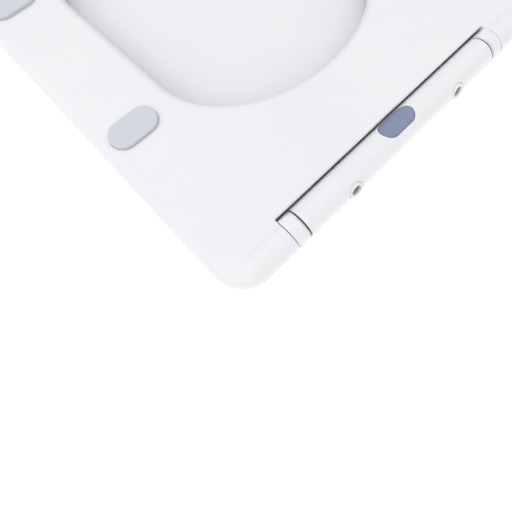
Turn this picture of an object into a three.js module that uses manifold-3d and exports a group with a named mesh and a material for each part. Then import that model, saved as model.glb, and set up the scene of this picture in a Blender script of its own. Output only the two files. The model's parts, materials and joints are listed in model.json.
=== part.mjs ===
// A soft-close toilet seat with a one-button quick-release hinge bar, lying on its closed lid with the
// underside of the ring facing up. Millimetres, +Z up, X along the hinge axis, +Y from hinge to front.
// The seat is drawn about its hinge axis, and its group then sets the lid's outer face on Z = 0.

import * as THREE from "three";
import { mergeVertices } from "three/addons/utils/BufferGeometryUtils.js";
import { ParametricGeometry } from "three/addons/geometries/ParametricGeometry.js";
import Module from "manifold-3d";

const wasm = await Module();
wasm.setup();

// ---- driving dimensions, in the seat's frame: origin on the hinge axis ----
const HALF_WIDTH = 180;
const BARREL_RADIUS = 13.1;
const SEAT_LENGTH = 430;
const REAR = -BARREL_RADIUS;
const FRONT = REAR + SEAT_LENGTH;
const CORNER_RADIUS = 27;
const SIDE_END = 272;
const UNDER_Z = 10;
const RING_THICKNESS = 16;
const TOP_Z = UNDER_Z - RING_THICKNESS;
const EDGE_RADIUS = 7.6;
const LID_GAP = 2;
const RIM_Z = TOP_Z - LID_GAP;
const LID_HEIGHT = 14.6;
const LID_Z = RIM_Z - LID_HEIGHT;
const LID_WALL = 4.5;
const GAP = 0.3;

const OPENING_HALF_WIDTH = 109.4;
const OPENING_WIDENING = 5.5;
const OPENING_CENTRE = 159.4;
const OPENING_DEPTH = 79.2;
const OPENING_FRONT = FRONT - 62;

const BAR_HALF = 108.7;
const KNUCKLE_START = 109.9;
const KNUCKLE_END = 121.7;
const KNUCKLE_WEB = 9.6;
const SHOULDER_Y = 10.8;
const SHOULDER_Z = 11.2;
const SHOULDER_SETBACK = 2;
const EAR_START = 122.3;
const NOTCH_RADIUS = 15.8;
const LID_NOTCH_RADIUS = 14.3;
const SOCKET_SWEEP_RADIUS = 15.7;

const BAR_BORE = 10.8;
const BAR_TURN_DEG = -108;
const SOCKET_X = 61.5;
const SOCKET_BORE = 4.1;
const SOCKET_FLANGE = 7;
const SOCKET_FACE = BARREL_RADIUS + GAP;
const SOCKET_SLEEVE = 5.7;
const SOCKET_SHOULDER = BARREL_RADIUS - 3;
const BUTTON_STRAIGHT = 8.6;
const BUTTON_RADIUS = 8.7;
const BUTTON_TRAVEL = 3;
const FLANGE_HALF_WIDTH = 20;
const FLANGE_Y = -5.2;
const FLANGE_THICKNESS = 1.8;
const WEDGE_TOP = 9;
const WEDGE_TIP_Y = 4.4;
const WEDGE_BASE_Y = FLANGE_Y + FLANGE_THICKNESS - 0.4;
const WEDGE_DEPTH = 5.2;

const LATCH_HALF = 1.1;
const LATCH_HALF_WIDTH = 6;
const LATCH_TOP_Y = 0.2;
const LATCH_HOLE = 4.5;
const LATCH_INNER = 1.2;
const LATCH_STEP = [24, 26];
const LATCH_END = 70.5;
const RAIL_END = 70.4;
const RAIL_THICKNESS = 3;
const RAIL_FRONT = LATCH_HALF + GAP;
const RAIL_BACK = RAIL_FRONT + RAIL_THICKNESS;
const RAIL_SCREW_X = 36;
const RAIL_SCREW_Y = 3.4;
const SCREW_HEAD = 2.2;
const SCREW_BORE = 1.5;
const SCREW_SEAT = 2.9;
const SCREW_END = 9;
const BOSS_OUTER = 3.2;

const SHAFT_RADIUS = 4;
const SHAFT_BORE = SHAFT_RADIUS + GAP;
const KEY_FLAT = 0.72;
const BUSH_RADIUS = 6;
const SHAFT_INNER = 81;
const SHAFT_OUTER = 148;
const DAMPER_START = 78;
const DAMPER_END = 101;
const DAMPER_RADIUS = BAR_BORE - GAP;
const DAMPER_WALL = 2;
const CAP_END = DAMPER_END + 2.6;
const ROTOR_HUB = 5.4;
const VANE_HALF = 0.9;
const SEAL_TUBE = 0.7;
const FLANGE_RADIUS = 12.4;

const PAD_X = 148.4;
const PAD_ROWS = { rear: 139.9, front: 301 };
const PAD_STRAIGHT = 8.7;
const PAD_RADIUS = 11.8;
const PAD_HEIGHT = 3.1;
const PAD_SEAT = 1.6;
const BUMPER_X = 132;
const BUMPER_ROWS = { rear: 62, front: 330 };
const BUMPER_RADIUS = 5.5;
const BOSS_RADIUS = 7.5;
const BUMPER_HEIGHT = 3.2;

const ROUND_STEPS = 24;
const NOTCH_STEPS = 40;
const STATIONS = { rear: 17, side: 3, front: 10 };

// ---- materials ----
function finish(color, roughness, metalness = 0) {
  return new THREE.MeshStandardMaterial({ color, roughness, metalness });
}
const WHITE = () => finish(0xf2f2f4, 0.22);
const SOFT_GREY = () => finish(0xd3d9de, 0.5);
const BUTTON_BLUE = () => finish(0x8a96b2, 0.35);
const BEARING = () => finish(0xe6e4da, 0.5);
const DARK_PLASTIC = () => finish(0x3a3d42, 0.55);
const STEEL = () => finish(0xb9bcc0, 0.3, 1);
const BLACK_RUBBER = () => finish(0x1e1f21, 0.8);

// ---- solids: joined and cut with manifold, shaped by three.js geometries ----
function weld(geometry) {
  const bare = geometry.clone();
  bare.deleteAttribute("normal");
  bare.deleteAttribute("uv");
  return mergeVertices(bare, 1e-3);
}

function solid(geometry) {
  const welded = weld(geometry);
  const index = welded.index.array;
  const faces = [];
  for (let i = 0; i < index.length; i += 3) {
    const [a, b, c] = [index[i], index[i + 1], index[i + 2]];
    if (a !== b && b !== c && c !== a) faces.push(a, b, c);
  }
  const vertProperties = new Float32Array(welded.attributes.position.array);
  const mesh = new wasm.Mesh({ numProp: 3, vertProperties, triVerts: new Uint32Array(faces) });
  return new wasm.Manifold(mesh);
}

function mesh(name, shape, material) {
  const result = shape.getMesh();
  const geometry = new THREE.BufferGeometry();
  geometry.setAttribute("position", new THREE.BufferAttribute(new Float32Array(result.vertProperties), 3));
  geometry.setIndex(new THREE.BufferAttribute(new Uint32Array(result.triVerts), 1));
  geometry.computeVertexNormals();
  const piece = new THREE.Mesh(geometry, material);
  piece.name = name;
  return piece;
}

// a box between two corners; the pair of values along each axis may come in either order
function box(x0, x1, y0, y1, z0, z1) {
  const geometry = new THREE.BoxGeometry(Math.abs(x1 - x0), Math.abs(y1 - y0), Math.abs(z1 - z0));
  return solid(geometry.translate((x0 + x1) / 2, (y0 + y1) / 2, (z0 + z1) / 2));
}

// a round bar along X from x0 to x1
function roundX(radius, x0, x1, steps = ROUND_STEPS) {
  const geometry = new THREE.CylinderGeometry(radius, radius, Math.abs(x1 - x0), steps);
  return solid(geometry.rotateZ(Math.PI / 2).translate((x0 + x1) / 2, 0, 0));
}

// a round bar along Z at (x, y)
function roundZ(radius, x, y, z0, z1, steps = ROUND_STEPS) {
  const geometry = new THREE.CylinderGeometry(radius, radius, z1 - z0, steps);
  return solid(geometry.rotateX(Math.PI / 2).translate(x, y, (z0 + z1) / 2));
}

// a round bar along X with two flats, which keys a shaft into its hole
function keyedX(radius, x0, x1) {
  const flat = radius * KEY_FLAT;
  return roundX(radius, x0, x1).intersect(box(x0, x1, -radius, radius, -flat, flat));
}

const polygon = (points, side = 1) => new THREE.Shape(points.map(([x, y]) => new THREE.Vector2(side * x, y)));

function stadium(halfStraight, radius) {
  const outline = new THREE.Shape();
  outline.absarc(halfStraight, 0, radius, -Math.PI / 2, Math.PI / 2);
  outline.absarc(-halfStraight, 0, radius, Math.PI / 2, 1.5 * Math.PI);
  outline.closePath();
  return outline;
}

function prism(outline, height, curveSegments = 8, bevel = 0) {
  const geometry = new THREE.ExtrudeGeometry(outline, {
    depth: height - 2 * bevel,
    curveSegments,
    bevelEnabled: bevel > 0,
    bevelThickness: bevel,
    bevelSize: bevel,
    bevelOffset: -bevel,
    bevelSegments: 2,
  });
  return geometry.translate(0, 0, bevel);
}

// ---- plan outlines of the ring and the lid ----
function spaced(curves, count) {
  const path = new THREE.CurvePath();
  curves.forEach((curve) => path.add(curve));
  return path.getSpacedPoints(count).slice(0, count);
}

const line = (x0, y0, x1, y1) => new THREE.LineCurve(new THREE.Vector2(x0, y0), new THREE.Vector2(x1, y1));

function frontCurve(halfWidth, sideEnd, front) {
  const reach = front - sideEnd;
  return new THREE.CubicBezierCurve(
    new THREE.Vector2(halfWidth, sideEnd),
    new THREE.Vector2(halfWidth, sideEnd + reach * 0.62),
    new THREE.Vector2(halfWidth * 0.62, front),
    new THREE.Vector2(0, front),
  );
}

// one half's points, mirrored into a closed counter-clockwise loop
function closedLoop(half) {
  const mirrored = half.slice(1, -1).reverse();
  return [...half, ...mirrored.map((p) => new THREE.Vector2(-p.x, p.y))];
}

function outerLoop(inset, rear, cornerRadius) {
  const w = HALF_WIDTH - inset;
  const corner = w - cornerRadius;
  const rearPart = [
    line(0, rear, corner, rear),
    new THREE.EllipseCurve(corner, rear + cornerRadius, cornerRadius, cornerRadius, -Math.PI / 2, 0, false),
    line(w, rear + cornerRadius, w, OPENING_CENTRE * 0.75),
  ];
  const half = [
    ...spaced(rearPart, STATIONS.rear),
    ...spaced([line(w, OPENING_CENTRE * 0.75, w, SIDE_END)], STATIONS.side),
    ...spaced([frontCurve(w, SIDE_END, FRONT - inset)], STATIONS.front),
    new THREE.Vector2(0, FRONT - inset),
  ];
  return closedLoop(half);
}

function openingLoop() {
  const w = OPENING_HALF_WIDTH;
  const wide = w + OPENING_WIDENING;
  const rearPart = new THREE.EllipseCurve(0, OPENING_CENTRE, w, OPENING_DEPTH, -Math.PI / 2, 0, false);
  const half = [
    ...spaced([rearPart], STATIONS.rear),
    ...spaced([line(w, OPENING_CENTRE, wide, SIDE_END)], STATIONS.side),
    ...spaced([frontCurve(wide, SIDE_END, OPENING_FRONT)], STATIONS.front),
    new THREE.Vector2(0, OPENING_FRONT),
  ];
  return closedLoop(half);
}

// unit normals of a counter-clockwise loop, pointing to its left, which is inward
function inwardNormals(loop) {
  return loop.map((p, i) => {
    const before = loop[(i + loop.length - 1) % loop.length];
    const after = loop[(i + 1) % loop.length];
    const along = new THREE.Vector2().subVectors(after, before).normalize();
    return new THREE.Vector2(-along.y, along.x);
  });
}

// a closed band: each section point is [place across, inset from that edge, height]
function band(section, place) {
  const stations = 2 * (STATIONS.rear + STATIONS.side + STATIONS.front);
  const surface = (around, across, target) => {
    const i = Math.round(around * stations) % stations;
    const k = Math.round(across * section.length) % section.length;
    target.copy(place(i, section[k]));
  };
  return new ParametricGeometry(surface, stations, section.length);
}

function quarter(radius, steps, from, to) {
  const points = [];
  for (let i = 0; i <= steps; i++) {
    const angle = from + ((to - from) * i) / steps;
    points.push([radius * (1 - Math.cos(angle)), radius * Math.sin(angle)]);
  }
  return points;
}

// ---- the ring ----
function ringSlab() {
  const outer = outerLoop(0, REAR, CORNER_RADIUS);
  const inner = openingLoop();
  const outerNormal = inwardNormals(outer);
  const innerNormal = inwardNormals(inner);
  const rise = quarter(EDGE_RADIUS, 4, 0, Math.PI / 2);
  const fall = [...rise].reverse();
  const middle = (UNDER_Z + TOP_Z) / 2;
  const lift = RING_THICKNESS / 2 - EDGE_RADIUS;
  const section = [
    ...rise.map(([inset, height]) => ["outer", inset, middle + lift + height]),
    ...fall.map(([inset, height]) => ["inner", inset, middle + lift + height]),
    ...rise.map(([inset, height]) => ["inner", inset, middle - lift - height]),
    ...fall.map(([inset, height]) => ["outer", inset, middle - lift - height]),
  ];
  const place = (i, [edge, inset, height]) => {
    const from = edge === "outer" ? outer[i] : inner[i];
    const way = edge === "outer" ? outerNormal[i] : innerNormal[i];
    const sign = edge === "outer" ? 1 : -1;
    return new THREE.Vector3(from.x + sign * inset * way.x, from.y + sign * inset * way.y, height);
  };
  return solid(band(section, place));
}

// One ear: a barrel about the hinge axis with a ramp that meets the ring's underside. It shrinks to a tip
// under the rounded corner. side is 1 for +X and -1 for -X.
function ear(side) {
  const cornerX = HALF_WIDTH - CORNER_RADIUS;
  const stations = [[EAR_START, 0], [EAR_START, 1], [cornerX, 1]];
  for (let i = 1; i <= 6; i++) {
    const angle = (i / 6) * Math.acos(1 - BARREL_RADIUS / CORNER_RADIUS);
    const left = BARREL_RADIUS - CORNER_RADIUS * (1 - Math.cos(angle));
    stations.push([cornerX + CORNER_RADIUS * Math.sin(angle), Math.max(0, left / BARREL_RADIUS)]);
  }
  const rampAngle = THREE.MathUtils.degToRad(15);
  const rampEnd = 15;
  const section = [[rampEnd, UNDER_Z - 1]];
  const turns = 22;
  for (let i = 0; i <= turns; i++) {
    const angle = Math.PI / 2 - rampAngle + (i / turns) * (1.5 * Math.PI + rampAngle);
    section.push([BARREL_RADIUS * Math.cos(angle), BARREL_RADIUS * Math.sin(angle)]);
  }
  const surface = (across, along, target) => {
    const [x, scale] = stations[Math.round(along * (stations.length - 1))];
    const [y, z] = section[Math.round(across * section.length) % section.length];
    target.set(side * x, y * scale, z * scale);
  };
  const geometry = new ParametricGeometry(surface, section.length, stations.length - 1);
  if (side < 0) geometry.index.array.reverse();
  return solid(geometry);
}

function seatRing() {
  let ring = ringSlab().add(ear(1)).add(ear(-1));
  ring = ring.subtract(roundX(NOTCH_RADIUS, -EAR_START, EAR_START, NOTCH_STEPS));
  ring = ring.subtract(box(-EAR_START, EAR_START, REAR - 2, 0, TOP_Z - 1, BARREL_RADIUS + 1));
  ring = ring.subtract(keyedX(SHAFT_BORE, -EAR_START + 2, -SHAFT_OUTER - GAP));
  ring = ring.subtract(roundX(BUSH_RADIUS + GAP, EAR_START - 2, SHAFT_OUTER + GAP));
  for (const y of Object.values(PAD_ROWS)) {
    for (const side of [-1, 1]) ring = ring.subtract(padRecess(side * PAD_X, y));
  }
  return ring;
}

function padRecess(x, y) {
  const outline = stadium(PAD_STRAIGHT, PAD_RADIUS + GAP);
  return solid(prism(outline, PAD_SEAT + 2).translate(x, y, UNDER_Z - PAD_SEAT));
}

function ringPad(x, y) {
  const outline = stadium(PAD_STRAIGHT, PAD_RADIUS);
  const base = UNDER_Z - PAD_SEAT + GAP;
  const height = PAD_HEIGHT + PAD_SEAT - GAP;
  return solid(prism(outline, height, 6, 1).translate(x, y, base));
}

// ---- the lid ----
function lidDish() {
  const rear = REAR + 2.4;
  const outer = outerLoop(0.6, rear, CORNER_RADIUS - 1);
  const normal = inwardNormals(outer);
  const centre = new THREE.Vector2(0, (rear + FRONT) / 2);
  const rounding = 9;
  const floor = LID_Z + LID_WALL;
  const section = [
    ["pole", 0, LID_Z],
    ["edge", rounding, LID_Z],
    ...quarter(rounding, 4, Math.PI / 2, 0)
      .slice(1)
      .map(([inset, height]) => ["edge", inset, LID_Z + rounding - height]),
    ["edge", 0.4, RIM_Z - 0.8],
    ["edge", 1.4, RIM_Z],
    ["edge", 4.6, RIM_Z],
    ["edge", 5.6, RIM_Z - 1],
    ["edge", 6.4, floor + 3],
    ["edge", 9.4, floor],
    ["pole", 0, floor],
  ];
  const surface = (around, across, target) => {
    const i = Math.round(around * outer.length) % outer.length;
    const [edge, inset, height] = section[Math.round(across * (section.length - 1))];
    if (edge === "pole") target.set(centre.x, centre.y, height);
    else target.set(outer[i].x + inset * normal[i].x, outer[i].y + inset * normal[i].y, height);
  };
  return solid(new ParametricGeometry(surface, outer.length, section.length - 1));
}

// the fuller front of a knuckle, which closes most of the slot between it and the ring
function knuckleShoulder(side) {
  const corner = polygon([
    [0, 0],
    [SHOULDER_Y, 0],
    [SHOULDER_Y, SHOULDER_Z - 2.2],
    [SHOULDER_Y - 1.4, SHOULDER_Z],
    [SHOULDER_Y - 6, BARREL_RADIUS - 0.6],
    [0, BARREL_RADIUS - 0.4],
  ]);
  const geometry = prism(corner, KNUCKLE_END - KNUCKLE_START - SHOULDER_SETBACK);
  const x = side > 0 ? KNUCKLE_START + SHOULDER_SETBACK : -KNUCKLE_END;
  return solid(geometry.rotateX(Math.PI / 2).rotateZ(Math.PI / 2).translate(x, 0, 0));
}

function lid() {
  let shell = lidDish();
  for (const y of Object.values(BUMPER_ROWS)) {
    for (const side of [-1, 1]) {
      const top = TOP_Z - GAP - BUMPER_HEIGHT;
      shell = shell.add(roundZ(BOSS_RADIUS, side * BUMPER_X, y, LID_Z + 1, top, 20));
    }
  }
  shell = shell.subtract(roundX(LID_NOTCH_RADIUS, -HALF_WIDTH - 1, HALF_WIDTH + 1, NOTCH_STEPS));
  shell = shell.subtract(roundX(SOCKET_SWEEP_RADIUS, -KNUCKLE_START, KNUCKLE_START, NOTCH_STEPS));
  for (const side of [-1, 1]) {
    const [start, end] = [side * KNUCKLE_START, side * KNUCKLE_END];
    const web = box(start, end, -KNUCKLE_WEB, KNUCKLE_WEB, LID_Z + 2, 0);
    shell = shell.add(roundX(BARREL_RADIUS, start, end)).add(web).add(knuckleShoulder(side));
  }
  shell = shell.subtract(roundX(BUSH_RADIUS + GAP, -KNUCKLE_START + 1, -KNUCKLE_END - 1));
  return shell.subtract(keyedX(SHAFT_BORE, KNUCKLE_START - 1, KNUCKLE_END + 1));
}

function lidBumper(x, y) {
  const top = TOP_Z - GAP;
  const profile = [
    [0, 0],
    [BUMPER_RADIUS, 0],
    [BUMPER_RADIUS, BUMPER_HEIGHT - GAP - 1.2],
    [BUMPER_RADIUS - 0.5, BUMPER_HEIGHT - GAP - 0.4],
    [BUMPER_RADIUS - 1.6, BUMPER_HEIGHT - GAP],
    [0, BUMPER_HEIGHT - GAP],
  ].map(([r, h]) => new THREE.Vector2(r, h));
  const geometry = new THREE.LatheGeometry(profile, 20).rotateX(Math.PI / 2);
  return solid(geometry.translate(x, y, top - BUMPER_HEIGHT + GAP));
}

// ---- the hinge bar, drawn with its sockets facing -Z and its button facing -Y ----
function bushX(outer, bore, x0, x1) {
  return roundX(outer, x0, x1).subtract(roundX(bore, Math.min(x0, x1) - 1, Math.max(x0, x1) + 1));
}

function buttonSolid(halfStraight, radius, y0, y1) {
  const outline = stadium(halfStraight, radius);
  return solid(prism(outline, y1 - y0, 10).rotateX(Math.PI / 2).translate(0, y1, 0));
}

// the bar's tube, open for the sockets and the button, with two bosses inside that the rail screws onto
function hingeBar() {
  let bar = bushX(BARREL_RADIUS, BAR_BORE, -BAR_HALF, BAR_HALF);
  for (const side of [-1, 1]) {
    const x = side * RAIL_SCREW_X;
    bar = bar.add(roundZ(BOSS_OUTER, x, RAIL_SCREW_Y, RAIL_BACK + GAP, BAR_BORE + 0.4, 16));
    bar = bar.subtract(roundZ(SCREW_BORE, x, RAIL_SCREW_Y, RAIL_BACK, SCREW_END + GAP, 12));
    bar = bar.subtract(roundZ(SOCKET_FLANGE + GAP, side * SOCKET_X, 0, -BARREL_RADIUS - 1, -2));
  }
  return bar.subtract(buttonSolid(BUTTON_STRAIGHT, BUTTON_RADIUS + GAP, -BARREL_RADIUS - 1, FLANGE_Y));
}

// the flanged socket that a mounting post pushes up into
function postSocket(x) {
  const flange = roundZ(SOCKET_FLANGE, x, 0, -SOCKET_FACE, -SOCKET_SHOULDER);
  const sleeve = roundZ(SOCKET_SLEEVE, x, 0, -SOCKET_FACE, -LATCH_HALF - GAP);
  return flange.add(sleeve).subtract(roundZ(SOCKET_BORE, x, 0, -SOCKET_FACE - 1, 0));
}

// The button: a cap that follows the bar's surface, a flange that keeps it in, and a wedge that spreads the
// two slides.
function releaseButton() {
  const crown = roundX(BARREL_RADIUS + 0.2, -FLANGE_HALF_WIDTH, FLANGE_HALF_WIDTH, 64);
  const column = buttonSolid(BUTTON_STRAIGHT, BUTTON_RADIUS, -BARREL_RADIUS - 1, FLANGE_Y + 0.5);
  const flangeEnd = FLANGE_Y + FLANGE_THICKNESS;
  const flange = box(-FLANGE_HALF_WIDTH, FLANGE_HALF_WIDTH, FLANGE_Y, flangeEnd, -8.9, 8.9);
  const tip = WEDGE_TOP - (WEDGE_TIP_Y - WEDGE_BASE_Y);
  const outline = polygon([
    [-WEDGE_TOP, WEDGE_BASE_Y],
    [WEDGE_TOP, WEDGE_BASE_Y],
    [tip, WEDGE_TIP_Y],
    [-tip, WEDGE_TIP_Y],
  ]);
  const wedge = solid(prism(outline, WEDGE_DEPTH).translate(0, 0, LATCH_HALF + 0.1 - WEDGE_DEPTH));
  return column.intersect(crown).add(flange).add(wedge);
}

// A latch slide: a flat strip with a round hole that bites into the groove of the mounting post from outside.
// Its sloping inner end rests on the button's wedge.
function latchSlide(side) {
  const slope = WEDGE_TOP + WEDGE_BASE_Y + GAP * Math.SQRT2;
  const outline = polygon(
    [
      [slope - LATCH_TOP_Y, LATCH_TOP_Y],
      [LATCH_STEP[0], LATCH_TOP_Y],
      [LATCH_STEP[1], -LATCH_HALF_WIDTH],
      [LATCH_END - 1.5, -LATCH_HALF_WIDTH],
      [LATCH_END, 1.5 - LATCH_HALF_WIDTH],
      [LATCH_END, LATCH_HALF_WIDTH - 1.5],
      [LATCH_END - 1.5, LATCH_HALF_WIDTH],
      [LATCH_INNER, LATCH_HALF_WIDTH],
      [LATCH_INNER, slope - LATCH_INNER],
    ],
    side,
  );
  const strip = solid(prism(outline, 2 * LATCH_HALF).translate(0, 0, -LATCH_HALF));
  const hole = roundZ(LATCH_HOLE, side * (SOCKET_X - BUTTON_TRAVEL), 0, -2, 2);
  return strip.subtract(hole);
}

// the moulded rail that the slides run on, with a countersunk hole for each of its two screws
function latchRail() {
  const halfWidth = LATCH_HALF_WIDTH + 0.6;
  const outline = polygon([
    [-LATCH_STEP[0], 0.4],
    [LATCH_STEP[0], 0.4],
    [LATCH_STEP[1], -halfWidth],
    [RAIL_END, -halfWidth],
    [RAIL_END, halfWidth],
    [-RAIL_END, halfWidth],
    [-RAIL_END, -halfWidth],
    [-LATCH_STEP[1], -halfWidth],
  ]);
  let rail = solid(prism(outline, RAIL_THICKNESS).translate(0, 0, RAIL_FRONT));
  for (const side of [-1, 1]) {
    const x = side * RAIL_SCREW_X;
    rail = rail.subtract(roundZ(SCREW_BORE, x, RAIL_SCREW_Y, 0, RAIL_BACK + 1, 12));
    rail = rail.subtract(roundZ(SCREW_HEAD + GAP, x, RAIL_SCREW_Y, 0, SCREW_SEAT + GAP, 14));
  }
  return rail;
}

function railScrew(side) {
  const x = side * RAIL_SCREW_X;
  const head = roundZ(SCREW_HEAD, x, RAIL_SCREW_Y, RAIL_FRONT + 0.1, SCREW_SEAT, 14);
  return head.add(roundZ(SCREW_BORE - GAP, x, RAIL_SCREW_Y, SCREW_SEAT - 0.2, SCREW_END, 10));
}

class Helix extends THREE.Curve {
  constructor(radius, x0, x1, turns) {
    super();
    Object.assign(this, { radius, x0, x1, turns });
  }
  getPoint(t, target = new THREE.Vector3()) {
    const angle = 2 * Math.PI * this.turns * t;
    const x = this.x0 + (this.x1 - this.x0) * t;
    return target.set(x, this.radius * Math.cos(angle), this.radius * Math.sin(angle));
  }
}

function latchSpring(side) {
  const wire = new THREE.Shape();
  wire.absarc(0, 0, 0.35, 0, 2 * Math.PI);
  const path = new Helix(2.6, side * (LATCH_END + 0.8), side * (DAMPER_START - 0.8), 4);
  const settings = { steps: 36, extrudePath: path, curveSegments: 5, bevelEnabled: false };
  return solid(new THREE.ExtrudeGeometry(wire, settings));
}

// ---- rotary dampers in the ends of the bar: one fixed rib, one vane, grease between them ----
function damperHousing(side) {
  const cup = roundX(DAMPER_RADIUS, side * DAMPER_START, side * DAMPER_END);
  const floor = side * (DAMPER_START + DAMPER_WALL);
  const hollow = roundX(DAMPER_RADIUS - DAMPER_WALL, floor, side * (DAMPER_END + 1));
  const ribStart = side * (DAMPER_START + 1);
  const rib = box(ribStart, side * DAMPER_END, -VANE_HALF, VANE_HALF, ROTOR_HUB + 0.5, DAMPER_RADIUS - 1);
  return cup.subtract(hollow).add(rib);
}

function damperRotor(side) {
  const start = side * (DAMPER_START + DAMPER_WALL + GAP);
  const end = side * (DAMPER_END - GAP);
  const vane = box(start, end, -VANE_HALF, VANE_HALF, 0, DAMPER_RADIUS - DAMPER_WALL - GAP);
  const bore = keyedX(SHAFT_BORE, side * (SHAFT_INNER - GAP), side * (DAMPER_END + 1));
  return roundX(ROTOR_HUB, start, end).add(vane).subtract(bore);
}

function damperCap(side) {
  return bushX(DAMPER_RADIUS, SHAFT_BORE, side * (DAMPER_END + GAP), side * CAP_END);
}

function damperSeal(side) {
  const torus = new THREE.TorusGeometry(SHAFT_BORE + SEAL_TUBE + 0.1, SEAL_TUBE, 6, 18);
  return solid(torus.rotateY(Math.PI / 2).translate(side * (CAP_END + GAP + SEAL_TUBE), 0, 0));
}

// the bush in a bar end, whose flange keeps the bar off the lid's knuckle
function barEndBush(side) {
  const start = CAP_END + 2 * (GAP + SEAL_TUBE);
  const sleeve = roundX(BAR_BORE - GAP, side * start, side * (BAR_HALF + 0.5));
  const flange = roundX(FLANGE_RADIUS, side * (BAR_HALF + GAP), side * (KNUCKLE_START - GAP));
  return sleeve.add(flange).subtract(roundX(SHAFT_BORE, side * (start - 1), side * (KNUCKLE_START + 1)));
}

// ---- hinge shafts: keyed in the rotor and in the part that turns them, round between ----
function hingeShaft(side, keyStart, keyEnd) {
  const rotorKey = keyedX(SHAFT_RADIUS, side * SHAFT_INNER, side * (DAMPER_END + 0.1));
  const journal = roundX(SHAFT_RADIUS, side * (DAMPER_END - 0.1), side * (keyStart + 0.2));
  const shaft = rotorKey.add(journal).add(keyedX(SHAFT_RADIUS, side * keyStart, side * keyEnd));
  if (keyEnd === SHAFT_OUTER) return shaft;
  return shaft.add(roundX(SHAFT_RADIUS, side * (keyEnd - 0.2), side * SHAFT_OUTER));
}

// ---- assembly ----
const seat = new THREE.Group();
const bar = new THREE.Group();
bar.rotation.x = THREE.MathUtils.degToRad(BAR_TURN_DEG);
seat.add(bar);

const SIDES = { left: -1, right: 1 };

seat.add(mesh("lid", lid(), WHITE()));
seat.add(mesh("seat_ring", seatRing(), WHITE()));
for (const [name, side] of Object.entries(SIDES)) {
  for (const [row, y] of Object.entries(PAD_ROWS)) {
    seat.add(mesh(`ring_bumper_${row}_${name}`, ringPad(side * PAD_X, y), SOFT_GREY()));
  }
  for (const [row, y] of Object.entries(BUMPER_ROWS)) {
    seat.add(mesh(`lid_bumper_${row}_${name}`, lidBumper(side * BUMPER_X, y), SOFT_GREY()));
  }
}

seat.add(mesh("ring_hinge_shaft", hingeShaft(-1, EAR_START - 0.4, SHAFT_OUTER), STEEL()));
seat.add(mesh("lid_hinge_shaft", hingeShaft(1, KNUCKLE_START - 0.4, KNUCKLE_END + 0.4), STEEL()));
seat.add(mesh("knuckle_bush_left", bushX(BUSH_RADIUS, SHAFT_BORE, -KNUCKLE_START, -KNUCKLE_END), BEARING()));
seat.add(mesh("ear_bush_right", bushX(BUSH_RADIUS, SHAFT_BORE, EAR_START, SHAFT_OUTER), BEARING()));
seat.add(mesh("damper_rotor_left", damperRotor(-1), DARK_PLASTIC()));
seat.add(mesh("damper_rotor_right", damperRotor(1), DARK_PLASTIC()));

bar.add(mesh("hinge_bar", hingeBar(), WHITE()));
bar.add(mesh("release_button", releaseButton(), BUTTON_BLUE()));
bar.add(mesh("latch_rail", latchRail(), DARK_PLASTIC()));
for (const [name, side] of Object.entries(SIDES)) {
  bar.add(mesh(`post_socket_${name}`, postSocket(side * SOCKET_X), BEARING()));
  bar.add(mesh(`latch_slide_${name}`, latchSlide(side), STEEL()));
  bar.add(mesh(`rail_screw_${name}`, railScrew(side), STEEL()));
  bar.add(mesh(`latch_spring_${name}`, latchSpring(side), STEEL()));
  bar.add(mesh(`damper_housing_${name}`, damperHousing(side), DARK_PLASTIC()));
  bar.add(mesh(`damper_cap_${name}`, damperCap(side), DARK_PLASTIC()));
  bar.add(mesh(`damper_seal_${name}`, damperSeal(side), BLACK_RUBBER()));
  bar.add(mesh(`bar_end_bush_${name}`, barEndBush(side), DARK_PLASTIC()));
}

const socketAngle = THREE.MathUtils.degToRad(180 + BAR_TURN_DEG);
const rearmost = -SOCKET_FACE * Math.sin(socketAngle) - SOCKET_FLANGE * Math.cos(socketAngle);
seat.position.set(0, -(rearmost + FRONT) / 2, -LID_Z);
const model = new THREE.Group();
model.add(seat);

export default model;
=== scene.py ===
"""A soft-close toilet seat with a quick-release hinge bar, lying on its closed lid, the ring's underside up.
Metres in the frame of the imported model. Shape details are in millimetres times MM, about the hinge axis."""

import json
import math

import bmesh
import bpy
import numpy as np
from mathutils import Matrix, Vector


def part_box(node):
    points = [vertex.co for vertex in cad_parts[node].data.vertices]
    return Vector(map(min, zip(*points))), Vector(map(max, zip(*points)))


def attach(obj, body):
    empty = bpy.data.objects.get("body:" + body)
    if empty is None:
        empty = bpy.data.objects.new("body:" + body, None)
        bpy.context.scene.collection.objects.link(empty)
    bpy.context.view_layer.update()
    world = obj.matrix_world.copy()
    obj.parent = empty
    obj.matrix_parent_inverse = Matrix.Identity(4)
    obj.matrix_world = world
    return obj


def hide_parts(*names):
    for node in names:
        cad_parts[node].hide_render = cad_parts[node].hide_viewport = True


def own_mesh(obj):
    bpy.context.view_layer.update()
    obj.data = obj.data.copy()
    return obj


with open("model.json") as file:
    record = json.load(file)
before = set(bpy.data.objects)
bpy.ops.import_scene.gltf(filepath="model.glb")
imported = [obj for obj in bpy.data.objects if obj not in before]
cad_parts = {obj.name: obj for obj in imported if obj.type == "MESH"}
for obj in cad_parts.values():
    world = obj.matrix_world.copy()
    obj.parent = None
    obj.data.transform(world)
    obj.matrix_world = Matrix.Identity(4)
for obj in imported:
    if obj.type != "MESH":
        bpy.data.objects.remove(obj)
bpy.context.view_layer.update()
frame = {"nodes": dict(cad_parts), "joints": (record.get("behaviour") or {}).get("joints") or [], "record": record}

# ---- sizes, from the frame ----
MM = 0.001
joints = {joint["name"]: joint for joint in frame["joints"]}
HINGE = Vector(joints["bar_hinge"]["pos_m"])
BUTTON_AXIS = -Vector(joints["button_press"]["axis"])
SOCKET_AXIS = BUTTON_AXIS.cross(Vector((1, 0, 0))).normalized()
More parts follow.
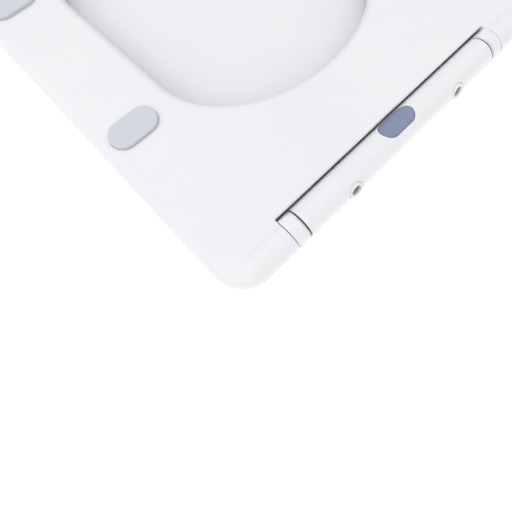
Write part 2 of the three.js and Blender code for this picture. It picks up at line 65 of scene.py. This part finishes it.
if SOCKET_AXIS.y > 0:
    SOCKET_AXIS = -SOCKET_AXIS


def node_box(node):
    low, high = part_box(node)
    return Vector(low) - HINGE, Vector(high) - HINGE


ring_low, ring_high = node_box("seat_ring")
lid_low, _ = node_box("lid")
_, bar_high = node_box("hinge_bar")

HALF_WIDTH = ring_high.x
REAR = ring_low.y
FRONT = ring_high.y
BARREL = bar_high.z
BAR_HALF = bar_high.x

# ---- shape details that the boxes don't hold ----
CORNER = 27 * MM
SIDE_END = 272 * MM
UNDER = 10 * MM
TOP = -6 * MM
EDGE = 7.6 * MM
OPENING_HALF = 109.4 * MM
OPENING_WIDER = 114.9 * MM
OPENING_CENTRE = 159.4 * MM
OPENING_DEPTH = 79.2 * MM
OPENING_FRONT = FRONT - 62 * MM
REAR_SHARE = 0.75
FRONT_PULL = 0.62
KNUCKLE_START = 109.9 * MM
KNUCKLE_END = 121.7 * MM
EAR_START = 122.3 * MM
NOTCH = 15.5 * MM
LID_NOTCH = 14.3 * MM
SOCKET_SWEEP = 15.7 * MM
SOCKET_X = 61.5 * MM
SOCKET_BORE = 4.1 * MM
SOCKET_FLANGE = 7 * MM
SOCKET_FACE = 13.4 * MM
BUTTON_STRAIGHT = 8.6 * MM
BUTTON_ROUND = 8.45 * MM
GAP = 0.3 * MM
BUTTON_GAP = 0.45 * MM
LID_RIM = -8 * MM
LID_WALL = 4.5 * MM
SHARP_ANGLE = math.radians(32)
NOTCH_STEPS = 128
CORNERS = ("rear_left", "front_left", "rear_right", "front_right")


# ---- meshes ----
def add_object(name, vertices, faces):
    """A mesh object from points in the hinge frame."""
    mesh = bpy.data.meshes.new(name)
    mesh.from_pydata([tuple(Vector(v) + HINGE) for v in vertices], [], faces)
    piece = bpy.data.objects.new(name, mesh)
    bpy.context.scene.collection.objects.link(piece)
    shell = bmesh.new()
    shell.from_mesh(mesh)
    bmesh.ops.recalc_face_normals(shell, faces=shell.faces)
    shell.to_mesh(mesh)
    shell.free()
    return piece


def skin(name, grid, wrap=True):
    """A piece from a grid of points [row][column][xyz]. Columns close on themselves. Rows close when wrap is
    True; otherwise the first and the last row are capped."""
    rows, columns = grid.shape[:2]
    vertices = grid.reshape(-1, 3)
    faces = []
    for r in range(rows if wrap else rows - 1):
        for c in range(columns):
            a, b = r * columns, ((r + 1) % rows) * columns
            d = (c + 1) % columns
            faces.append((a + c, a + d, b + d, b + c))
    if not wrap:
        faces.append(tuple(range(columns)))
        faces.append(tuple((rows - 1) * columns + c for c in reversed(range(columns))))
    return add_object(name, vertices, faces)


def carve(piece, cutters):
    """Cuts the cutters out of the piece and removes them."""
    for cutter in cutters:
        cut = piece.modifiers.new("cut", "BOOLEAN")
        cut.object = cutter
        cut.operation = "DIFFERENCE"
        cut.solver = "EXACT"
    graph = bpy.context.evaluated_depsgraph_get()
    mesh = bpy.data.meshes.new_from_object(piece.evaluated_get(graph))
    piece.modifiers.clear()
    piece.data = mesh
    for cutter in cutters:
        bpy.data.objects.remove(cutter)


def finish_piece(piece, material, body, slot, *nodes):
    """Material, smooth shading with sharp creases, and the piece's place in the model."""
    piece.data.materials.clear()
    piece.data.materials.append(material)
    piece.data.shade_smooth()
    piece.data.set_sharp_from_angle(angle=SHARP_ANGLE)
    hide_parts(*nodes)
    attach(piece, body)
    return piece


def lathe_x(name, profile, steps=96):
    """A round solid about the hinge axis from (x, radius) points, capped at both ends."""
    angles = np.linspace(0, 2 * math.pi, steps, endpoint=False)
    grid = np.array([[(x, r * math.cos(a), r * math.sin(a)) for a in angles] for x, r in profile])
    return skin(name, grid, wrap=False)


def lathe_on(name, profile, centre, axis, steps=48, wrap=False):
    """A round solid about an axis through centre from (height, radius) points."""
    turn = Vector((0, 0, 1)).rotation_difference(axis)
    grid = []
    for height, radius in profile:
        row = []
        for i in range(steps):
            a = 2 * math.pi * i / steps
            row.append(centre + turn @ Vector((radius * math.cos(a), radius * math.sin(a), height)))
        grid.append(row)
    return skin(name, np.array(grid), wrap=wrap)


def quarter(radius, steps=7):
    """(inset, height) points of a rounded edge, from its side up to its flat."""
    angles = np.linspace(0, math.pi / 2, steps)
    return [(radius * (1 - math.cos(a)), radius * math.sin(a)) for a in angles]


def stadium(half_straight, radius, steps=40):
    """Points of a stadium outline that starts at the right end's lower corner."""
    points = []
    for side in (1, -1):
        for i in range(steps + 1):
            a = -math.pi / 2 + math.pi * i / steps
            points.append((side * (half_straight + radius * math.cos(a)), side * radius * math.sin(a)))
    return points


# ---- outlines in plan ----
def resample(points, shares):
    """Points at the given shares of a line's length."""
    points = np.array(points, float)
    lengths = np.concatenate([[0], np.cumsum(np.linalg.norm(np.diff(points, axis=0), axis=1))])
    wanted = np.array(shares) * lengths[-1]
    return np.stack([np.interp(wanted, lengths, points[:, k]) for k in range(2)], axis=1)


def front_curve(half_width, side_end, front, count):
    """The right half of a rounded front, from the side's end to the middle."""
    reach = front - side_end
    corners = [
        (half_width, side_end),
        (half_width, side_end + reach * FRONT_PULL),
        (half_width * FRONT_PULL, front),
        (0, front),
    ]
    t = np.linspace(0, 1, count)[:, None]
    a, b, c, d = [np.array(p) for p in corners]
    return a * (1 - t) ** 3 + 3 * b * t * (1 - t) ** 2 + 3 * c * t**2 * (1 - t) + d * t**3


REAR_PLACES = [0, 20, 40, 60, 80, 95, 105, 112, 118, 121.5]
REAR_PLACES += [122, 122.3, 122.4, 122.5, 122.65, 122.8, 122.9, 123.4, 125, 130, 136, 142, 148]
REAR_SIDE_STEPS = 8
CORNER_STEPS = 20
SIDE_STEPS = 12
FRONT_STEPS = 30


def outer_half(inset=0.0, rear=REAR, corner=CORNER):
    """The right half of an outer outline, from the middle of the rear to the middle of the front, and the
    number of points before the side's straight part."""
    w = HALF_WIDTH - inset
    centre = (w - corner, rear + corner)
    rear_end = OPENING_CENTRE * REAR_SHARE
    places = [(x * MM, rear) for x in REAR_PLACES if x * MM < centre[0] - 2 * MM]
    for i in range(CORNER_STEPS):
        a = -math.pi / 2 + math.pi / 2 * i / CORNER_STEPS
        places.append((centre[0] + corner * math.cos(a), centre[1] + corner * math.sin(a)))
    for i in range(REAR_SIDE_STEPS):
        places.append((w, centre[1] + (rear_end - centre[1]) * i / REAR_SIDE_STEPS))
    rear_count = len(places)
    for i in range(SIDE_STEPS):
        places.append((w, rear_end + (SIDE_END - rear_end) * i / SIDE_STEPS))
    places.extend(front_curve(w, SIDE_END, FRONT - inset, FRONT_STEPS + 1))
    return np.array(places), rear_count


def opening_half(outer, rear_count):
    """The opening's half outline, with one point for each of the outer outline's points."""
    steps = np.linalg.norm(np.diff(outer[: rear_count + 1], axis=0), axis=1)
    shares = np.concatenate([[0], np.cumsum(steps)]) / steps.sum()
    angles = np.linspace(-math.pi / 2, 0, 400)
    across, along = OPENING_HALF * np.cos(angles), OPENING_CENTRE + OPENING_DEPTH * np.sin(angles)
    rear = resample(np.stack([across, along], axis=1), shares[:-1])
    side = np.linspace((OPENING_HALF, OPENING_CENTRE), (OPENING_WIDER, SIDE_END), SIDE_STEPS + 1)[:-1]
    front = front_curve(OPENING_WIDER, SIDE_END, OPENING_FRONT, FRONT_STEPS + 1)
    return np.concatenate([rear, side, front])


def whole(half):
    """A closed outline from its right half."""
    mirrored = half[1:-1][::-1] * np.array([-1, 1])
    return np.concatenate([half, mirrored])


def inward(loop):
    """The unit directions into a closed outline, point by point."""
    along = np.roll(loop, -1, axis=0) - np.roll(loop, 1, axis=0)
    along /= np.linalg.norm(along, axis=1)[:, None]
    return np.stack([-along[:, 1], along[:, 0]], axis=1)


# ---- the ring ----
SLOT_ROUND = 1.4 * MM
EAR_ROUND = 0.6 * MM
EAR_MARGIN = 0.4 * MM
EAR_BLEND_REAR = 0.5 * MM
EAR_BLEND_FRONT = 1.2 * MM
PAD_SEAT_STRAIGHT = 8.7 * MM
PAD_SEAT_ROUND = 12.1 * MM
PAD_SEAT_DEPTH = 1.6 * MM
TOP_ROWS = [9, 10.5, 12, 13.5, 15, 16.5, 18, 19, 20, 20.7, 21.4, 22.1, 22.8, 23.4]
TOP_ROWS += list(np.arange(23.8, 28.2, 0.2)) + [29, 32, 37, 45]
SLOT_REACH = 28.4 * MM
LEAN_END = 45 * MM
STRAIGHT_END = 125 * MM
LOW_ROWS = [45, 37, 30, 27, 26, 25.4, 24.8, 24.2, 23, 21, 18, 15, 13, 11, 9]


def soft_max(a, b, width):
    """The larger of two heights, with a rounded change from one to the other."""
    h = np.clip(0.5 + (a - b) / (2 * width), 0, 1)
    return b * (1 - h) + a * h + width * h * (1 - h)


def ear_radius(x):
    """The ear's radius along the hinge: full along the straight, then falling round the corner."""
    beyond = np.clip(np.abs(x) - (HALF_WIDTH - CORNER), 0, CORNER)
    return np.maximum(BARREL - CORNER + np.sqrt(CORNER**2 - beyond**2), 0)


def ear_top(x, y):
    """The upper side of the ear's barrel, rounded at the end that faces the knuckle."""
    end = np.clip(EAR_START + EAR_ROUND - np.abs(x), 0, EAR_ROUND)
    drop = EAR_ROUND - np.sqrt(EAR_ROUND**2 - end**2)
    return np.sqrt(np.maximum(ear_radius(x) ** 2 - y**2, 0)) - drop


def ear_low(x, y):
    """The lower side of the ear's barrel."""
    r = ear_radius(x)
    return -np.sqrt(np.maximum(r**2 - y**2, 0))


def slot_drop(x, y):
    """How far the ring's surface falls away at the rounded edge of the notch for the hinge bar."""
    edge = np.sqrt(NOTCH**2 - UNDER**2) + SLOT_ROUND
    into = np.clip(edge + SLOT_ROUND - y, 0, SLOT_ROUND)
    drop = SLOT_ROUND - np.sqrt(SLOT_ROUND**2 - into**2) + 3 * np.clip(edge - y, 0, SLOT_ROUND)
    return np.where((np.abs(x) < EAR_START) & (y > edge - 3 * MM), drop, 0)


def near_ear(x, y):
    """Where the ring's surface follows the ear's barrel, from just inside the notch, which trims it."""
    return (np.abs(x) > EAR_START - EAR_MARGIN) & (y < ear_radius(x))


def pad_recess(x, y):
    """A cutter for the shallow seat of one bumper."""
    outline = stadium(PAD_SEAT_STRAIGHT, PAD_SEAT_ROUND)
    levels = (UNDER - PAD_SEAT_DEPTH, UNDER + 3 * MM)
    grid = np.array([[(x + px, y + py, z) for px, py in outline] for z in levels])
    return skin("recess", grid, wrap=False)


def ring(material):
    """The ring as one skin of rows that run round it: over the underside, through the opening and back."""
    outer_line, rear_count = outer_half()
    outer = whole(outer_line)
    inner = whole(opening_half(outer_line, rear_count))
    outer_in, inner_in = inward(outer), inward(inner)
    start = outer + outer_in * EDGE
    aim = inner - inner_in * EDGE - start
    aim /= np.linalg.norm(aim, axis=1)[:, None]
    aim /= np.sum(aim * outer_in, axis=1)[:, None]
    rise = quarter(EDGE)
    high, low = UNDER - EDGE, TOP + EDGE

    # along the hinge the columns run straight in as far as the slot, and lean towards the opening after it
    straight = np.abs(outer_in[:, 0]) < 0.001
    lean = np.clip((np.abs(outer[:, 0]) - STRAIGHT_END) / (HALF_WIDTH - CORNER - STRAIGHT_END), 0, 1)
    lean = np.where(straight & (outer[:, 1] < 0), lean**2 * (3 - 2 * lean), 1)

    def outer_row(inset):
        if inset <= EDGE:
            return outer + outer_in * inset
        after = min(max((inset - SLOT_REACH) / (LEAN_END - SLOT_REACH), 0), 1)
        share = lean + (1 - lean) * after**2 * (3 - 2 * after)
        return start + aim * (inset - EDGE) * np.column_stack([share, np.ones(len(share))])

    def top_row(inset, base):
        p = outer_row(inset)
        x, y = p[:, 0], p[:, 1]
        z = np.full(len(p), base)
        blend = np.where(y < 0, EAR_BLEND_REAR, EAR_BLEND_FRONT)
        z = np.where(near_ear(x, y), np.maximum(z, soft_max(z, ear_top(x, y), blend)), z)
        return np.column_stack([p, z - slot_drop(x, y)])

    def low_row(inset, base):
        p = outer_row(inset)
        x, y = p[:, 0], p[:, 1]
        z = np.full(len(p), base)
        return np.column_stack([p, np.where(near_ear(x, y), np.minimum(z, ear_low(x, y)), z)])

    rows = [top_row(inset, high + height) for inset, height in rise]
    rows += [top_row(inset * MM, UNDER) for inset in TOP_ROWS]
    inner_rows = [(inset, high + height) for inset, height in reversed(rise)]
    inner_rows += [(inset, low - height) for inset, height in rise]
    for inset, z in inner_rows:
        rows.append(np.column_stack([inner - inner_in * inset, np.full(len(inner), z)]))
    rows += [low_row(inset * MM, TOP) for inset in LOW_ROWS]
    rows += [low_row(inset, low - height) for inset, height in reversed(rise)]
    piece = skin("ring_shell", np.array(rows))

    cutters = [lathe_x("notch", [(-EAR_START, NOTCH), (EAR_START, NOTCH)], NOTCH_STEPS)]
    for corner in CORNERS:
        lo, hi = node_box("ring_bumper_" + corner)
        cutters.append(pad_recess((lo.x + hi.x) / 2, (lo.y + hi.y) / 2))
    carve(piece, cutters)
    return finish_piece(piece, material, "ring", "white_shell", "seat_ring")


# ---- bumpers ----
def stack(name, outline_at, levels):
    """A closed piece from outlines stacked by (offset, height)."""
    grid = np.array([[(*p, z) for p in outline_at(offset)] for offset, z in levels])
    return skin(name, grid, wrap=False)


def ring_pad(corner, material):
    """A soft bumper of the ring, with a rounded edge."""
    node = "ring_bumper_" + corner
    lo, hi = node_box(node)
    cx, cy = (lo.x + hi.x) / 2, (lo.y + hi.y) / 2
    radius = (hi.y - lo.y) / 2
    half = (hi.x - lo.x) / 2 - radius
    edge = 1.1 * MM
    levels = [(0, lo.z)]
    levels += [(inset, hi.z - edge + height) for inset, height in quarter(edge, 6)]
    levels += [(2.2 * MM, hi.z), (6 * MM, hi.z)]

    def outline(offset):
        return [(cx + x, cy + y) for x, y in stadium(half, radius - offset)]

    piece = stack("pad_" + corner, outline, levels)
    return finish_piece(piece, material, "ring", "bumper_grey", node)


def lid_button(corner, material):
    """A round bumper of the lid."""
    node = "lid_bumper_" + corner
    lo, hi = node_box(node)
    centre = Vector(((lo.x + hi.x) / 2, (lo.y + hi.y) / 2, lo.z))
    radius, height = (hi.x - lo.x) / 2, hi.z - lo.z
    edge = 1.4 * MM
    profile = [(0, radius)]
    profile += [(height - edge + h, radius - i) for i, h in quarter(edge, 6)]
    piece = lathe_on("stop_" + corner, profile, centre, Vector((0, 0, 1)))
    return finish_piece(piece, material, "lid", "bumper_grey", node)


# ---- the lid ----
def lid(material):
    """The lid as a dish: a rounded outside, a rim, and a floor that meets the wall in a fillet."""
    rear = REAR + 2.4 * MM
    line, _ = outer_half(0.6 * MM, rear, CORNER - 1 * MM)
    outer = whole(line)
    normal = inward(outer)
    rounding, rim, fillet, wall = 9 * MM, 1.2 * MM, 4 * MM, 6.4 * MM
    base = lid_low.z
    floor = base + LID_WALL
    rim_edge = LID_RIM - rim
    levels = [(24 * MM, base), (14 * MM, base)]
    levels += [(inset, base + rounding - height) for inset, height in reversed(quarter(rounding, 9))]
    levels += [(inset, rim_edge + height) for inset, height in quarter(rim, 5)]
    levels += [(4.6 * MM + (rim - inset), rim_edge + height) for inset, height in reversed(quarter(rim, 5))]
    levels += [(6.3 * MM, floor + fillet)]
    for a in np.linspace(0.1, math.pi / 2, 6):
        levels.append((wall + fillet * (1 - math.cos(a)), floor + fillet - fillet * math.sin(a)))
    levels += [(14 * MM, floor), (24 * MM, floor)]
    rows = [np.column_stack([outer + normal * inset, np.full(len(outer), z)]) for inset, z in levels]
    piece = skin("lid_shell", np.array(rows), wrap=False)
    notch = [(-HALF_WIDTH - MM, LID_NOTCH), (-KNUCKLE_START, LID_NOTCH), (-KNUCKLE_START, SOCKET_SWEEP)]
    notch += [(-x, r) for x, r in reversed(notch)]
    carve(piece, [lathe_x("notch", notch, NOTCH_STEPS)])
    return finish_piece(piece, material, "lid", "white_shell", "lid")


SHOULDER = 1.5 * MM
SHOULDER_AT = math.radians(51)
SHOULDER_SPREAD = math.radians(24)


def knuckle(side, material):
    """One lid knuckle: a barrel about the hinge axis on a web that runs down into the lid, with a fuller
    shoulder towards the ring."""
    web, foot = 9.6 * MM, lid_low.z + 2 * MM
    size = EAR_ROUND
    stations = [(KNUCKLE_START + i, size - h, 0) for i, h in quarter(size, 5)]
    stations += [(KNUCKLE_START + (size + i), 0, h / size) for i, h in reversed(quarter(size, 7))]
    stations += [(KNUCKLE_END - i, size - h, 1) for i, h in reversed(quarter(size, 5))]
    beyond = math.acos(web / BARREL)
    centre = np.array([0, foot / 3])
    grid = []
    for x, shrink, full in stations:
        outline = [(-web, foot), (-web, foot / 2)]
        for a in np.linspace(math.pi + beyond, -beyond, 97):
            rise = max(math.cos((a - SHOULDER_AT) / SHOULDER_SPREAD * math.pi / 2), 0)
            within = abs(a - SHOULDER_AT) < SHOULDER_SPREAD
            r = BARREL + (SHOULDER * full * rise**2 if within else 0)
            outline.append((r * math.cos(a), r * math.sin(a)))
        outline += [(web, foot / 2), (web, foot)]
        away = np.array(outline) - centre
        length = np.linalg.norm(away, axis=1)[:, None]
        points = centre + away * (1 - shrink / length)
        grid.append([(side * x, y, z) for y, z in points])
    piece = skin("lid_knuckle_" + ("right" if side > 0 else "left"), np.array(grid), wrap=False)
    return finish_piece(piece, material, "lid", "white_shell", "lid")


def lid_boss(corner, material):
    """The boss that carries a lid bumper, with a fillet at its foot."""
    lo, hi = node_box("lid_bumper_" + corner)
    centre = Vector(((lo.x + hi.x) / 2, (lo.y + hi.y) / 2, lid_low.z + 2 * MM))
    top = lo.z - centre.z
    fillet = 2 * MM
    floor = LID_WALL - 2 * MM
    radius = 7.5 * MM
    profile = [(0, radius + fillet), (floor, radius + fillet)]
    for a in np.linspace(0, math.pi / 2, 6):
        profile.append((floor + fillet * (1 - math.cos(a)), radius + fillet - fillet * math.sin(a)))
    profile += [(top - 0.5 * MM + h, radius - i) for i, h in quarter(0.5 * MM, 4)]
    piece = lathe_on("boss_" + corner, profile, centre, Vector((0, 0, 1)))
    return finish_piece(piece, material, "lid", "white_shell", "lid")


# ---- the hinge bar ----
HOLE_ROUND = 0.5 * MM
WELL_FLOOR = 2 * MM
WELL_TOP = 16 * MM
SOCKET_FLOOR = 1.5 * MM
END_POCKET = 10.8 * MM
# thickness of the grey liner whose darker tone paints shade into each socket bore
SHADE_LINER = 0.35 * MM


def on_bar(x, across, out):
    """A point of the bar's own frame, in the hinge frame. out is along the button's axis, and across is
    towards the sockets."""
    return Vector((x, 0, 0)) + SOCKET_AXIS * across + BUTTON_AXIS * out


def hinge_bar(material):
    """The bar with its button well, socket holes and end pockets."""
    end = 0.8 * MM
    places = [BAR_HALF - i for i, h in quarter(end, 5)]
    radii = [BARREL - end + h for i, h in quarter(end, 5)]
    xs = list(np.arange(0, 24, 0.75)) + list(np.arange(24, 52, 4)) + list(np.arange(52, 71, 0.75))
    xs += list(np.arange(72, 107, 5))
    half = [(x * MM, BARREL) for x in xs] + list(zip(reversed(places), reversed(radii)))
    profile = [(-x, r) for x, r in reversed(half[1:])] + half
    steps = 180
    angles = np.linspace(0, 2 * math.pi, steps, endpoint=False)
    grid = []
    for x, r in profile:
        row = []
        for a in angles:
            across, out = r * math.sin(a), r * math.cos(a)
            drop = 0.0
            if out > 0:
                beyond = max(abs(x) - BUTTON_STRAIGHT, 0)
                gap = math.hypot(beyond, across) - BUTTON_ROUND - BUTTON_GAP
                into = min(max(HOLE_ROUND - gap, 0), HOLE_ROUND)
                drop = HOLE_ROUND - math.sqrt(HOLE_ROUND**2 - into**2)
            row.append(on_bar(x, across * (1 - drop / r), out * (1 - drop / r)))
        grid.append(row)
    piece = skin("bar_tube", np.array(grid), wrap=False)
    outline = stadium(BUTTON_STRAIGHT, BUTTON_ROUND + BUTTON_GAP)
    well = [[on_bar(x, y, z) for x, y in outline] for z in (WELL_FLOOR, WELL_TOP)]
    cutters = [skin("button_well", np.array(well), wrap=False)]
    for side in (-1, 1):
        centre = Vector((side * SOCKET_X, 0, 0))
        hole = [(SOCKET_FLOOR, SOCKET_FLANGE + GAP), (WELL_TOP, SOCKET_FLANGE + GAP)]
        cutters.append(lathe_on("socket_hole", hole, centre, SOCKET_AXIS, 64))
        pocket = [(side * (BAR_HALF + MM), END_POCKET), (side * (BAR_HALF - 5 * MM), END_POCKET)]
        cutters.append(lathe_x("end_pocket", pocket))
    carve(piece, cutters)
    return finish_piece(piece, material, "hinge_bar", "white_shell", "hinge_bar")


def post_socket(side, material, bore_shade):
    """A flanged socket with a grey liner in its bore; the liner's darker grey is painted shade for the inside of
    the socket.
    """
    name = "left" if side < 0 else "right"
    node = "post_socket_" + name
    centre = Vector((side * SOCKET_X, 0, 0))
    bore = SOCKET_BORE + SHADE_LINER
    depth, bottom = SOCKET_FACE - 1.2 * MM, 1.6 * MM
    chamfer, outside = 0.3 * MM, bore - 0.02 * MM
    tube = [(bottom, SOCKET_BORE), (depth - chamfer, SOCKET_BORE), (depth, SOCKET_BORE + chamfer)]
    tube += [(depth, outside), (bottom, outside)]
    # the darker grey liner paints the shade inside the socket's bore
    shade_liner = lathe_on("shade_liner_" + name, tube, centre, SOCKET_AXIS, 64, wrap=True)
    finish_piece(shade_liner, bore_shade, "hinge_bar", "bearing_plastic", node)
    flange, lip, sleeve, back = SOCKET_FLANGE, 0.7 * MM, 5.7 * MM, SOCKET_FACE - 3 * MM
    profile = [(SOCKET_FLOOR, bore), (depth + 0.4 * MM, bore)]
    profile += [(SOCKET_FACE - 0.2 * MM, bore + 0.2 * MM), (SOCKET_FACE, bore + 0.6 * MM)]
    profile += [(SOCKET_FACE - lip + h, flange - i) for i, h in reversed(quarter(lip, 5))]
    profile += [(back, flange), (back, sleeve), (SOCKET_FLOOR, sleeve)]
    piece = lathe_on("socket_" + name, profile, centre, SOCKET_AXIS, 64, wrap=True)
    return finish_piece(piece, material, "hinge_bar", "bearing_plastic", node)


def button(material):
    """The cap follows the bar's round surface, with a rounded rim all round."""
    rim = 0.8 * MM
    crown = BARREL + 0.2 * MM
    loops = [(0, None, 6 * MM)]
    loops += [(i, rim - h, None) for i, h in quarter(rim, 6)]
    loops += [(d * MM, 0, None) for d in (1.6, 2.6, 3.8, 5.2, 6.6, 7.8, 8.5)]
    grid = []
    for inset, drop, level in loops:
        row = []
        for x, y in stadium(BUTTON_STRAIGHT, BUTTON_ROUND - inset):
            out = level if drop is None else math.sqrt(crown**2 - y**2) - drop
            row.append(on_bar(x, y, out))
        grid.append(row)
    piece = skin("button_cap", np.array(grid), wrap=False)
    return finish_piece(piece, material, "button", "button_blue", "release_button")


def latch_spring(side, material):
    """The coil spring behind a latch slide, built at one fixed length; the real spring shortens towards its outer
    end as the button goes in.
    """
    name = "left" if side < 0 else "right"
    node = "latch_spring_" + name
    lo, hi = node_box(node)
    wire = 0.3 * MM
    radius = (hi.z - lo.z) / 2 - wire
    centre = (lo + hi) / 2
    length = hi.x - lo.x - 2 * wire
    turns, steps = 4.5, 108
    grid = []
    for i in range(steps + 1):
        a = 2 * math.pi * turns * i / steps
        x = lo.x + wire + length * i / steps
        row = []
        for k in range(8):
            b = 2 * math.pi * k / 8
            r = radius + wire * math.cos(b)
            row.append((x + wire * math.sin(b), centre.y + r * math.cos(a), centre.z + r * math.sin(a)))
        grid.append(row)
    piece = skin("coil_" + name, np.array(grid), wrap=False)
    finish_piece(piece, material, "hinge_bar", "stainless", node)
    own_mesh(piece)


# ---- materials ----
DRIFT_SCALE = 14


def material(name, color, other, roughness, grain, bump, metallic=0.0, coat=0.0):
    """A moulded or turned surface: slow drift between two colours, roughness that varies with a finer grain,
    and a low bump of the same grain. grain is in patterns per metre, bump in metres."""
    made = bpy.data.materials.new(name)
    made.use_nodes = True
    nodes, links = made.node_tree.nodes, made.node_tree.links
    shader = nodes["Principled BSDF"]
    place = nodes.new("ShaderNodeTexCoord")
    drift = nodes.new("ShaderNodeTexNoise")
    drift.inputs["Scale"].default_value = DRIFT_SCALE
    drift.inputs["Detail"].default_value = 3
    fine = nodes.new("ShaderNodeTexNoise")
    fine.inputs["Scale"].default_value = grain
    fine.inputs["Detail"].default_value = 4
    links.new(place.outputs["Object"], drift.inputs["Vector"])
    links.new(place.outputs["Object"], fine.inputs["Vector"])
    ramp = nodes.new("ShaderNodeValToRGB")
    ramp.color_ramp.elements[0].position = 0.35
    ramp.color_ramp.elements[1].position = 0.65
    ramp.color_ramp.elements[0].color = (*color, 1)
    ramp.color_ramp.elements[1].color = (*other, 1)
    links.new(drift.outputs["Fac"], ramp.inputs["Fac"])
    links.new(ramp.outputs["Color"], shader.inputs["Base Color"])
    spread = nodes.new("ShaderNodeMapRange")
    spread.inputs["To Min"].default_value = roughness * 0.8
    spread.inputs["To Max"].default_value = roughness * 1.25
    links.new(fine.outputs["Fac"], spread.inputs["Value"])
    links.new(spread.outputs["Result"], shader.inputs["Roughness"])
    relief = nodes.new("ShaderNodeBump")
    relief.inputs["Strength"].default_value = 0.6
    relief.inputs["Distance"].default_value = bump
    links.new(fine.outputs["Fac"], relief.inputs["Height"])
    links.new(relief.outputs["Normal"], shader.inputs["Normal"])
    shader.inputs["Metallic"].default_value = metallic
    shader.inputs["Coat Weight"].default_value = coat
    return made


white = material("white_thermoset", (0.785, 0.785, 0.815), (0.8, 0.8, 0.825), 0.24, 900, 0.00001, coat=0.12)
grey = material("bumper_elastomer", (0.57, 0.6, 0.645), (0.595, 0.62, 0.66), 0.5, 2500, 0.00002)
blue = material("button_plastic", (0.185, 0.235, 0.35), (0.22, 0.255, 0.38), 0.35, 2500, 0.00002)
bearing = material("acetal", (0.74, 0.74, 0.755), (0.78, 0.78, 0.79), 0.35, 1500, 0.00001)
# darker grey for the socket liners: painted shade inside the bores
bore_shade_grey = material("painted_bore_shade", (0.42, 0.42, 0.43), (0.48, 0.48, 0.49), 0.45, 1500, 0.00001)
# near-black nylon for the dark plastic parts, made darker still so the bush flange in the gap between bar and
# knuckles stands in as painted shade of that gap
dark_and_gap_shade = material("dark_nylon_gap_shade", (0.016, 0.017, 0.019), (0.024, 0.025, 0.027), 0.5, 1800, 0.00002)
rubber = material("nitrile", (0.012, 0.012, 0.013), (0.02, 0.02, 0.02), 0.7, 2200, 0.00003)
steel = material("stainless", (0.5, 0.51, 0.52), (0.58, 0.585, 0.59), 0.28, 3000, 0.000005, metallic=1.0)

SLOT_MATERIALS = {
    "white_shell": white,
    "bumper_grey": grey,
    "button_blue": blue,
    "bearing_plastic": bearing,
    "dark_plastic": dark_and_gap_shade,
    "seal_rubber": rubber,
    "stainless": steel,
}
for part in frame["record"]["subparts"]:
    node = frame["nodes"][part["node"]]
    for place in node.material_slots:
        place.material = SLOT_MATERIALS[part["material_slot"]]

# ---- pieces ----
ring(white)
lid(white)
hinge_bar(white)
button(blue)
for side in (-1, 1):
    knuckle(side, white)
    post_socket(side, bearing, bore_shade_grey)
    latch_spring(side, steel)
for corner in CORNERS:
    ring_pad(corner, grey)
    lid_button(corner, grey)
    lid_boss(corner, white)


# ---- floor, light and camera ----
FLOOR_SIZE = 30


def floor():
    """A plain pale sheet just under the object."""
    bpy.ops.mesh.primitive_plane_add(size=FLOOR_SIZE, location=(0, 0, -0.5 * MM))
    plane = bpy.context.object
    plane.name = "floor"
    made = material("floor_paper", (0.93, 0.93, 0.93), (0.94, 0.94, 0.94), 0.9, 300, 0.00001)
    shader = made.node_tree.nodes["Principled BSDF"]
    shader.inputs["Emission Color"].default_value = (1, 1, 1, 1)
    shader.inputs["Emission Strength"].default_value = 0.22
    plane.data.materials.append(made)


def softbox(name, place, target, size, power):
    """A large rectangular lamp at a place, turned to a target."""
    lamp = bpy.data.lights.new(name, "AREA")
    lamp.shape = "RECTANGLE"
    lamp.size, lamp.size_y = size
    lamp.energy = power
    holder = bpy.data.objects.new(name, lamp)
    holder.location = place
    holder.rotation_euler = (Vector(target) - Vector(place)).to_track_quat("-Z", "Y").to_euler()
    bpy.context.scene.collection.objects.link(holder)


def studio(horizon, zenith):
    """A white room that is brighter overhead than at eye level."""
    world = bpy.data.worlds.new("studio")
    world.use_nodes = True
    nodes, links = world.node_tree.nodes, world.node_tree.links
    place = nodes.new("ShaderNodeTexCoord")
    parts = nodes.new("ShaderNodeSeparateXYZ")
    links.new(place.outputs["Generated"], parts.inputs["Vector"])
    level = nodes.new("ShaderNodeMapRange")
    level.inputs["From Min"].default_value = 0.0
    level.inputs["From Max"].default_value = 0.7
    level.inputs["To Min"].default_value = horizon
    level.inputs["To Max"].default_value = zenith
    links.new(parts.outputs["Z"], level.inputs["Value"])
    links.new(level.outputs["Result"], nodes["Background"].inputs["Strength"])
    nodes["Background"].inputs["Color"].default_value = (1, 1, 1, 1)
    bpy.context.scene.world = world


def camera():
    """A wide view of the rear corner, from the left and above."""
    lens = bpy.data.cameras.new("camera")
    lens.sensor_width = 36
    lens.lens = 30.83
    lens.shift_x, lens.shift_y = -0.1074, -0.127
    holder = bpy.data.objects.new("camera", lens)
    right = Vector((0.7037, -0.7094, 0.0393)).normalized()
    back = right.cross(Vector((0.6637, 0.6761, 0.32))).normalized()
    turn = Matrix((right, back.cross(right), back)).transposed()
    holder.matrix_world = Matrix.Translation((-0.1698, -0.255, 0.3377)) @ turn.to_4x4()
    bpy.context.scene.collection.objects.link(holder)
    bpy.context.scene.camera = holder


floor()
studio(0.72, 1.04)
softbox("key", (-0.9, 0.4, 1.4), (0, -0.1, 0), (2.2, 2.2), 6)
camera()
bpy.context.scene.view_settings.view_transform = "Standard"
